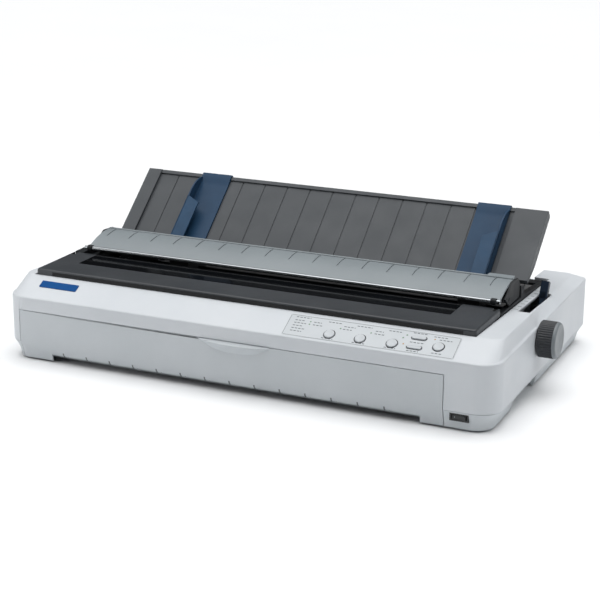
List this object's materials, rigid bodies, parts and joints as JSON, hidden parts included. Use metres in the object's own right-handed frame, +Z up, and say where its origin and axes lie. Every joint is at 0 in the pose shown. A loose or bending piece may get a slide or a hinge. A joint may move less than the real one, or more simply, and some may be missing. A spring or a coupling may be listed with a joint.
{
  "type": "dot matrix printer",
  "caption": "Wide-carriage dot matrix printer with hinged front door and cover, folding paper guide, tractors, platen knob and travelling print head.",
  "frame": {"origin": "on the surface it stands on, under the middle of its box (knob and finger lip included)", "axes": "+X along the carriage towards the knob, +Y from the front to the rear, +Z up"},
  "size_m": [0.616, 0.3556, 0.1736],
  "materials": {
    "case_plastic": "fine spark-eroded texture",
    "button_plastic": "fine texture",
    "cover_plastic": "smoke grey, fine texture",
    "window_plastic": "polished dark smoke",
    "frame_plastic": "dark grey texture",
    "panel_plastic": "silver grey satin",
    "guide_plastic": "dark grey texture",
    "blue_plastic": "satin",
    "lever_plastic": "satin",
    "knob_plastic": "ribbed grip",
    "platen_rubber": "ground",
    "roller_rubber": "ground",
    "foot_rubber": "moulded",
    "shaft_steel": "ground",
    "frame_steel": "zinc plated sheet",
    "motor_steel": "plated",
    "screw_steel": "zinc plated",
    "gear_plastic": "natural acetal",
    "pinion_brass": "machined",
    "belt_rubber": "moulded",
    "black_plastic": "fine texture",
    "switch_plastic": "semi gloss",
    "head_metal": "die cast",
    "circuit_board": "solder mask",
    "port_metal": "tin plated shells"
  },
  "bodies": {
    "printer": {"lower_case": "case_plastic", "upper_case": "case_plastic", "rubber_feet": "foot_rubber", "top_frame": "frame_plastic", "side_frame_left": "frame_steel", "side_frame_right": "frame_steel", "frame_bushes": "gear_plastic", "carriage_shaft": "shaft_steel", "carriage_rail": "frame_steel", "carriage_motor": "motor_steel", "timing_belt": "belt_rubber", "ribbon_cartridge": "black_plastic", "paper_chute": "black_plastic", "main_board": "circuit_board", "power_supply": "frame_steel", "ac_inlet": "switch_plastic", "rear_ports": "port_metal", "slot_cover": "frame_steel", "case_screws": "screw_steel", "switch_body": "switch_plastic", "panel_board": "circuit_board", "feed_motor": "motor_steel", "tractor_rod": "shaft_steel"},
    "door": {"front_door": "case_plastic"},
    "cover": {"printer_cover": "cover_plastic", "cover_window": "window_plastic"},
    "tension_unit": {"tension_panel": "panel_plastic", "tension_frame": "frame_plastic", "paper_bar": "shaft_steel"},
    "tension_roller_shaft": {"tension_rollers": "roller_rubber"},
    "guide": {"paper_guide": "guide_plastic"},
    "left_edge_guide": {"edge_guide_left": "blue_plastic"},
    "right_edge_guide": {"edge_guide_right": "blue_plastic"},
    "lever": {"release_lever": "lever_plastic"},
    "platen": {"platen_knob": "knob_plastic", "platen_shaft": "shaft_steel", "platen_roller": "platen_rubber", "platen_gear": "gear_plastic"},
    "idler": {"idler_gear": "gear_plastic"},
    "tractor_shaft": {"tractor_drive": "shaft_steel"},
    "pinion": {"feed_pinion": "pinion_brass"},
    "pinch_shaft": {"pinch_rollers": "roller_rubber"},
    "left_tractor": {"tractor_left": "black_plastic"},
    "right_tractor": {"tractor_right": "black_plastic"},
    "left_tractor_lid": {"tractor_lid_left": "black_plastic"},
    "right_tractor_lid": {"tractor_lid_right": "black_plastic"},
    "left_sprocket": {"sprocket_left": "gear_plastic"},
    "right_sprocket": {"sprocket_right": "gear_plastic"},
    "print_carriage": {"carriage": "black_plastic", "print_head": "head_metal"},
    "drive_pulley": {"motor_pulley": "pinion_brass"},
    "idler_pulley": {"belt_idler": "pinion_brass"},
    "ribbon_drive": {"ribbon_knob": "black_plastic"},
    "rocker": {"power_rocker": "switch_plastic"},
    "round_key_1": {"round_button_1": "button_plastic"},
    "round_key_2": {"round_button_2": "button_plastic"},
    "round_key_3": {"round_button_3": "button_plastic"},
    "round_key_4": {"round_button_4": "button_plastic"},
    "bar_key_1": {"bar_button_1": "button_plastic"},
    "bar_key_2": {"bar_button_2": "button_plastic"}
  },
  "joints": [
    {"name": "door_hinge", "type": "hinge", "parent": "printer", "child": "door", "pos_m": [-0.011, -0.16175, 0.0088], "axis": [1, 0, 0], "range_deg": [0, 75]},
    {"name": "cover_hinge", "type": "hinge", "parent": "printer", "child": "cover", "pos_m": [-0.011, -0.06175, 0.094], "axis": [-1, 0, 0], "range_deg": [0, 75]},
    {"name": "tension_unit_lift", "type": "slide", "parent": "printer", "child": "tension_unit", "axis": [0, 0, 1], "range_m": [0, 0.06]},
    {"name": "tension_roller_turn", "type": "hinge", "parent": "tension_unit", "child": "tension_roller_shaft", "pos_m": [-0.011, -0.02225, 0.102], "axis": [1, 0, 0], "continuous": true},
    {"name": "guide_fold", "type": "hinge", "parent": "printer", "child": "guide", "pos_m": [-0.011, 0.02775, 0.098], "axis": [1, 0, 0], "range_deg": [-36, 0]},
    {"name": "left_edge_guide_slide", "type": "slide", "parent": "guide", "child": "left_edge_guide", "axis": [1, 0, 0], "range_m": [-0.045, 0.12]},
    {"name": "right_edge_guide_slide", "type": "slide", "parent": "guide", "child": "right_edge_guide", "axis": [1, 0, 0], "range_m": [-0.12, 0.004]},
    {"name": "release_lever_turn", "type": "hinge", "parent": "printer", "child": "lever", "pos_m": [0.2665, 0.02375, 0.03], "axis": [1, 0, 0], "range_deg": [0, 58]},
    {"name": "platen_turn", "type": "hinge", "parent": "printer", "child": "platen", "pos_m": [-0.011, -0.02025, 0.062], "axis": [1, 0, 0], "continuous": true},
    {"name": "idler_turn", "type": "hinge", "parent": "printer", "child": "idler", "pos_m": [-0.011, 0.02351, 0.0666], "axis": [1, 0, 0], "continuous": true},
    {"name": "tractor_shaft_turn", "type": "hinge", "parent": "printer", "child": "tractor_shaft", "pos_m": [-0.011, 0.06727, 0.0712], "axis": [1, 0, 0], "continuous": true},
    {"name": "pinion_turn", "type": "hinge", "parent": "printer", "child": "pinion", "pos_m": [-0.011, 0.02351, 0.0331], "axis": [1, 0, 0], "continuous": true},
    {"name": "pinch_roller_turn", "type": "hinge", "parent": "printer", "child": "pinch_shaft", "pos_m": [-0.011, -0.015, 0.04239], "axis": [1, 0, 0], "continuous": true},
    {"name": "left_tractor_slide", "type": "slide", "parent": "printer", "child": "left_tractor", "axis": [1, 0, 0], "range_m": [-0.01, 0.09]},
    {"name": "right_tractor_slide", "type": "slide", "parent": "printer", "child": "right_tractor", "axis": [1, 0, 0], "range_m": [-0.07, 0.01]},
    {"name": "left_tractor_lid_hinge", "type": "hinge", "parent": "left_tractor", "child": "left_tractor_lid", "pos_m": [-0.2116, 0.06727, 0.0792], "axis": [0, -1, 0], "range_deg": [0, 80]},
    {"name": "right_tractor_lid_hinge", "type": "hinge", "parent": "right_tractor", "child": "right_tractor_lid", "pos_m": [0.1896, 0.06727, 0.0792], "axis": [0, 1, 0], "range_deg": [0, 80]},
    {"name": "left_sprocket_turn", "type": "hinge", "parent": "left_tractor", "child": "left_sprocket", "pos_m": [-0.201, 0.06727, 0.0712], "axis": [1, 0, 0], "continuous": true},
    {"name": "right_sprocket_turn", "type": "hinge", "parent": "right_tractor", "child": "right_sprocket", "pos_m": [0.179, 0.06727, 0.0712], "axis": [1, 0, 0], "continuous": true},
    {"name": "carriage_travel", "type": "slide", "parent": "printer", "child": "print_carriage", "axis": [1, 0, 0], "range_m": [-0.03, 0.3]},
    {"name": "drive_pulley_turn", "type": "hinge", "parent": "printer", "child": "drive_pulley", "pos_m": [0.204, -0.10825, 0.047], "axis": [0, 0, 1], "continuous": true},
    {"name": "idler_pulley_turn", "type": "hinge", "parent": "printer", "child": "idler_pulley", "pos_m": [-0.226, -0.10825, 0.047], "axis": [0, 0, 1], "continuous": true},
    {"name": "ribbon_knob_turn", "type": "hinge", "parent": "printer", "child": "ribbon_drive", "pos_m": [-0.223, -0.11025, 0.09], "axis": [0, 0, 1], "continuous": true},
    {"name": "power_rocker_turn", "type": "hinge", "parent": "printer", "child": "rocker", "pos_m": [0.2465, -0.16603, 0.0159], "axis": [0, 0, 1], "range_deg": [0, 8]},
    {"name": "round_button_1_press", "type": "slide", "parent": "printer", "child": "round_key_1", "axis": [0, 0.4689, -0.8833], "range_m": [0, 0.0012], "stiffness_N_per_m": 300, "springref_m": -0.001},
    {"name": "round_button_2_press", "type": "slide", "parent": "printer", "child": "round_key_2", "axis": [0, 0.4689, -0.8833], "range_m": [0, 0.0012], "stiffness_N_per_m": 300, "springref_m": -0.001},
    {"name": "round_button_3_press", "type": "slide", "parent": "printer", "child": "round_key_3", "axis": [0, 0.4689, -0.8833], "range_m": [0, 0.0012], "stiffness_N_per_m": 300, "springref_m": -0.001},
    {"name": "round_button_4_press", "type": "slide", "parent": "printer", "child": "round_key_4", "axis": [0, 0.4689, -0.8833], "range_m": [0, 0.0012], "stiffness_N_per_m": 300, "springref_m": -0.001},
    {"name": "bar_button_1_press", "type": "slide", "parent": "printer", "child": "bar_key_1", "axis": [0, 0.4689, -0.8833], "range_m": [0, 0.0012], "stiffness_N_per_m": 300, "springref_m": -0.001},
    {"name": "bar_button_2_press", "type": "slide", "parent": "printer", "child": "bar_key_2", "axis": [0, 0.4689, -0.8833], "range_m": [0, 0.0012], "stiffness_N_per_m": 300, "springref_m": -0.001}
  ],
  "couplings": [
    {"joint": "idler_turn", "follows": "platen_turn", "ratio": -0.69231},
    {"joint": "tractor_shaft_turn", "follows": "platen_turn", "ratio": 1},
    {"joint": "pinion_turn", "follows": "platen_turn", "ratio": 2.4},
    {"joint": "pinch_roller_turn", "follows": "platen_turn", "ratio": -2.3333},
    {"joint": "left_sprocket_turn", "follows": "platen_turn", "ratio": 1},
    {"joint": "right_sprocket_turn", "follows": "platen_turn", "ratio": 1},
    {"joint": "drive_pulley_turn", "follows": "carriage_travel", "rad_per_m": -132.45},
    {"joint": "idler_pulley_turn", "follows": "carriage_travel", "rad_per_m": -132.45}
  ]
}
